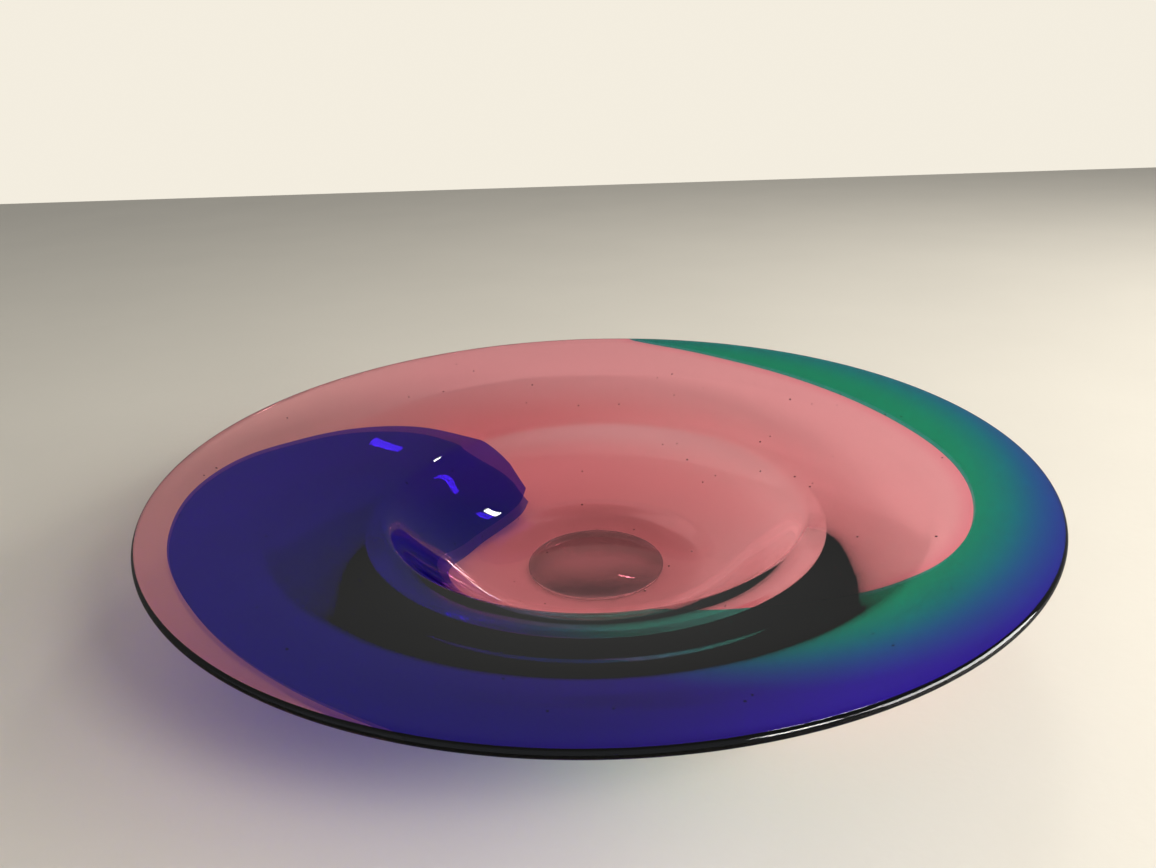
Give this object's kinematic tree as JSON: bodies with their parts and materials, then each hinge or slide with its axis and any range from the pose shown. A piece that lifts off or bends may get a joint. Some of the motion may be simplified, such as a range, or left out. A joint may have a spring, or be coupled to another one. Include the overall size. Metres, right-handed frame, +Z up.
{
  "type": "art glass bowl",
  "caption": "Wide shallow blown glass centre bowl with a broad flared rim and a rounded middle well, in transparent ruby, cobalt and emerald glass spun into a swirl.",
  "frame": {"origin": "on the rest plane, under the middle of the bowl", "axes": "+Z up out of the bowl; the swirl's tip lies towards -X and +Y, and the cobalt rim towards -Y"},
  "size_m": [0.4, 0.3999, 0.066],
  "materials": {
    "ruby_glass": "clear cranberry pink blown glass, fire-polished gloss",
    "cobalt_glass": "deep transparent cobalt blue blown glass, fire-polished gloss",
    "emerald_glass": "transparent emerald green blown glass, fire-polished gloss",
    "clear_glass": "clear glass, ground flat and polished underneath"
  },
  "bodies": {
    "root": {"ruby_swirl": "ruby_glass", "cobalt_swirl": "cobalt_glass", "emerald_swirl": "emerald_glass", "foot_pad": "clear_glass"}
  },
  "joints": []
}
